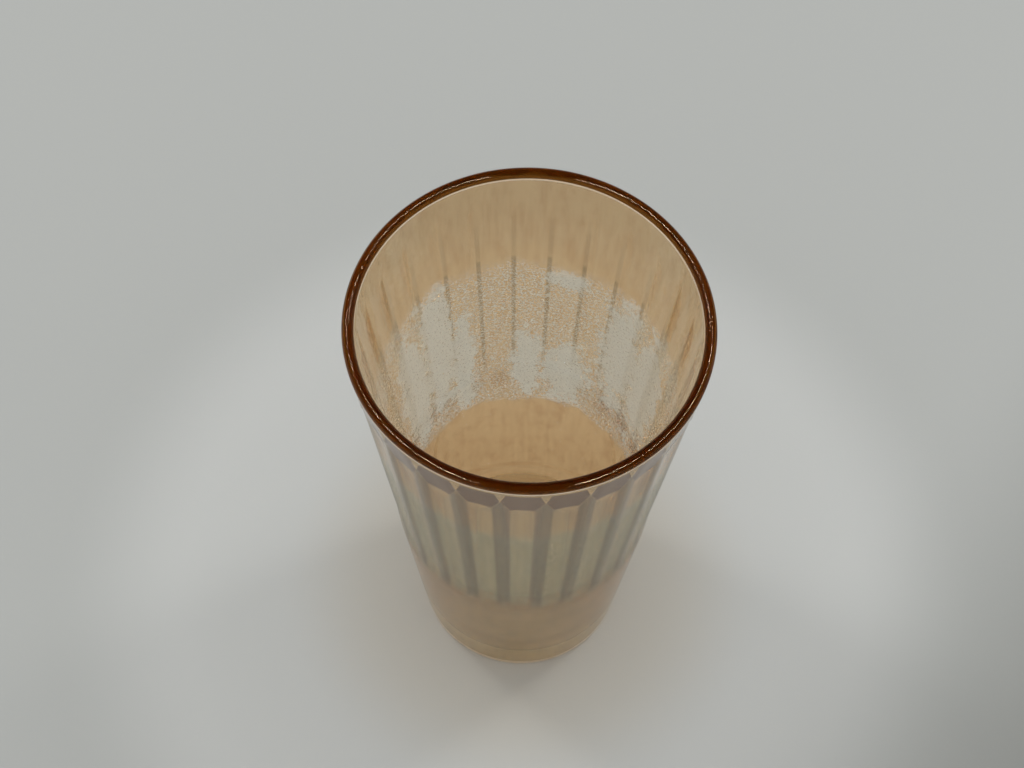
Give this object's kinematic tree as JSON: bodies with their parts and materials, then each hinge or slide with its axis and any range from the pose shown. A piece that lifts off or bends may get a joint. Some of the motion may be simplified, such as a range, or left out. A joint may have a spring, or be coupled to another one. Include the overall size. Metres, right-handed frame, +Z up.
{
  "type": "chai glass",
  "caption": "Tapered pressed-glass chai tumbler with flat vertical panels outside, smooth bowl, rounded dark lip, thick foot and an amber and pearl lustre coat.",
  "frame": {"origin": "centre of the foot on the plane that the glass stands on", "axes": "+Z up along the axis of the glass; one flat panel faces -Y and one faces +Y"},
  "size_m": [0.07, 0.07, 0.124],
  "materials": {
    "lip_glass": "fire-polished lip, dark red-brown and olive where light runs up the wall",
    "wall_glass": "smooth pressed glass with a warm tint",
    "foot_glass": "thick clear pressed glass, darker where it is deep",
    "amber_lustre": "thin fired amber film with a faint pink and green sheen",
    "pearl_lustre": "grainy grey-white fired film with brown specks"
  },
  "bodies": {
    "root": {"lip_ring": "lip_glass", "shoulder_wall": "wall_glass", "panelled_wall": "wall_glass", "plain_wall": "wall_glass", "thick_foot": "foot_glass", "upper_lustre": "amber_lustre", "pearl_lustre": "pearl_lustre", "lower_lustre": "amber_lustre"}
  },
  "joints": []
}
